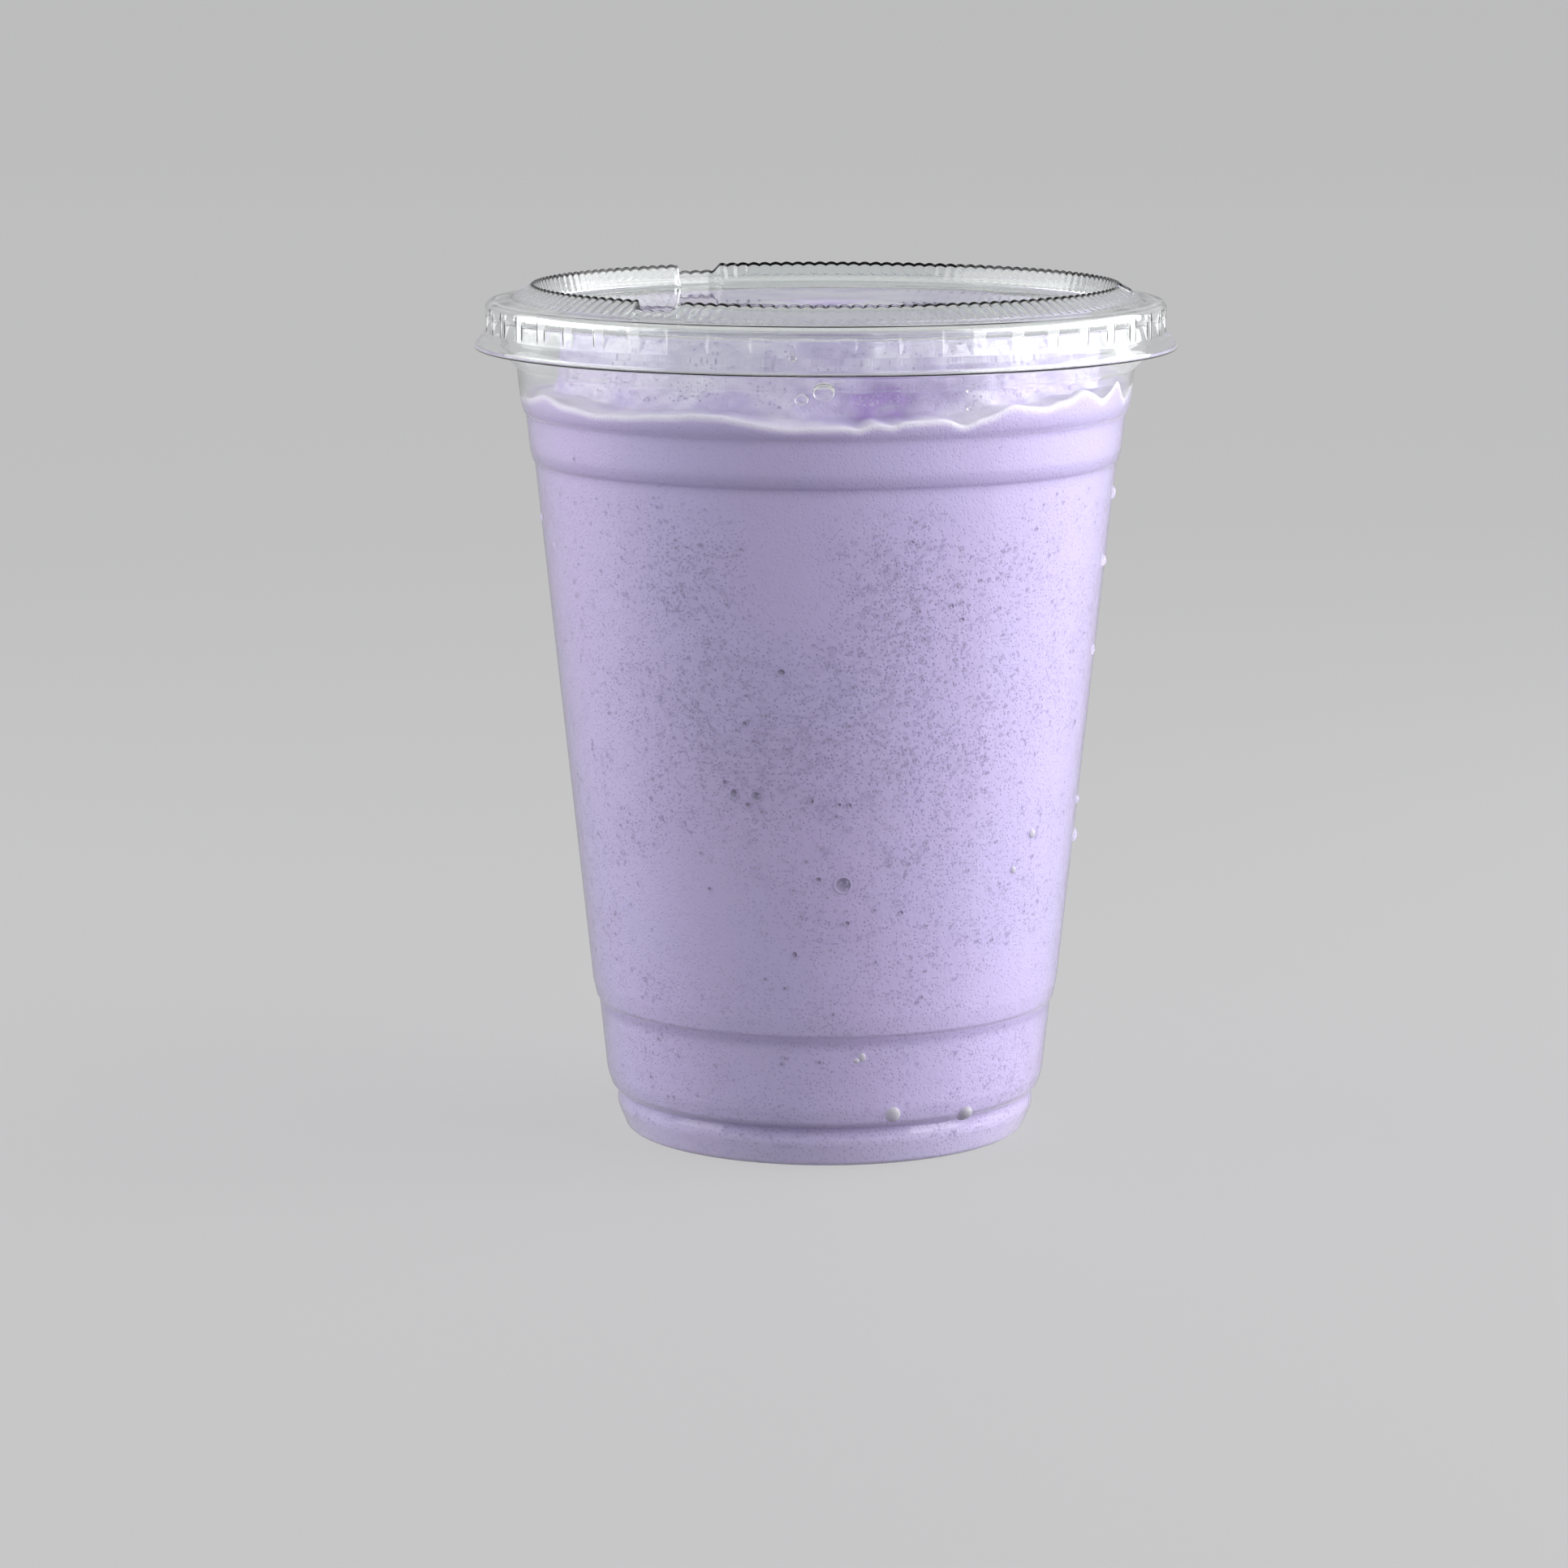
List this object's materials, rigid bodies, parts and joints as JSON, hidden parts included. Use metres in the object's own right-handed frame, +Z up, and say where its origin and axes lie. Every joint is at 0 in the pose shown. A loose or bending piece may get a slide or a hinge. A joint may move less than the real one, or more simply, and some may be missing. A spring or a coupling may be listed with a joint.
{
  "type": "taro smoothie",
  "caption": "Thick pale lilac taro smoothie heaped in a clear tapered plastic cup with stepped shoulders, closed by a clear flat press-down lid with a ribbed crown.",
  "frame": {"origin": "middle of the standing ring under the cup, on the surface that it stands on", "axes": "+Z up along the cup's axis; -Y is the side that the picture shows, +X to its right"},
  "size_m": [0.102, 0.102, 0.1246],
  "materials": {
    "clear_cup": "glossy, colourless, seen through",
    "clear_lid": "glossy, colourless, seen through",
    "smoothie": "matt, pale lilac, finely pitted"
  },
  "bodies": {
    "root": {"cup": "clear_cup", "lid": "clear_lid", "smoothie": "smoothie"}
  },
  "joints": []
}
